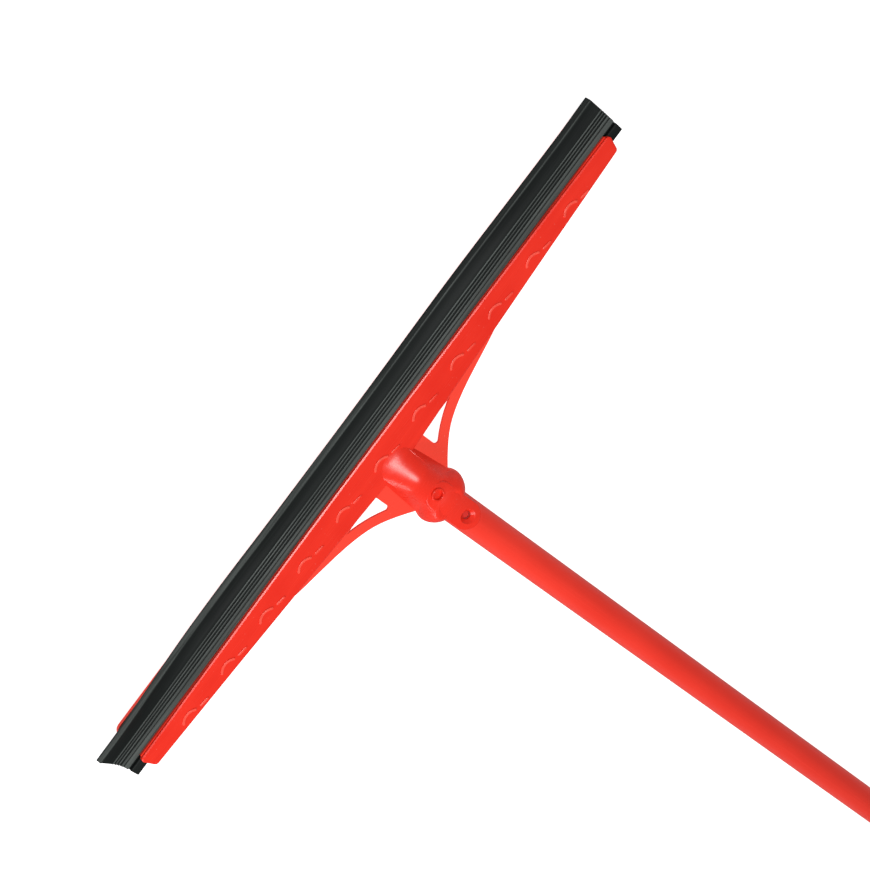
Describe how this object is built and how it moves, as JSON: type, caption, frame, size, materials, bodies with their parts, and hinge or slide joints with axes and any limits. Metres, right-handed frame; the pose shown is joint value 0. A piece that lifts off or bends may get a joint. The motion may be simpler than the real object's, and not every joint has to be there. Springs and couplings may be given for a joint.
{
  "type": "floor and window squeegee",
  "caption": "Long-handled squeegee: a wide moulded head with a sliding rubber blade and a round coated pole in its socket, for wiping water off windows and floors.",
  "frame": {"origin": "centre of the bounding box, on the surface that the squeegee lies on", "axes": "+X along the blade, +Y along the pole away from the blade, +Z out of the embossed front face"},
  "size_m": [0.504, 1.3, 0.0355],
  "materials": {
    "head_plastic": "glossy moulded polypropylene",
    "blade_rubber": "satin black rubber with fine grooves",
    "pole_coating": "thin smooth plastic coating",
    "tube_steel": "plain drawn steel",
    "plug_plastic": "matt moulded plastic",
    "cap_plastic": "glossy moulded plastic"
  },
  "bodies": {
    "head": {"head_moulding": "head_plastic"},
    "blade": {"rubber_blade": "blade_rubber"},
    "pole": {"pole_coating": "pole_coating", "pole_tube": "tube_steel", "pole_end_plug": "plug_plastic", "hanging_cap": "cap_plastic"}
  },
  "joints": [
    {"name": "blade_slide", "type": "slide", "parent": "head", "child": "blade", "axis": [1, 0, 0], "range_m": [-0.49, 0.49]},
    {"name": "pole_slide", "type": "slide", "parent": "head", "child": "pole", "axis": [0, 1, 0], "range_m": [0, 0.06]}
  ]
}
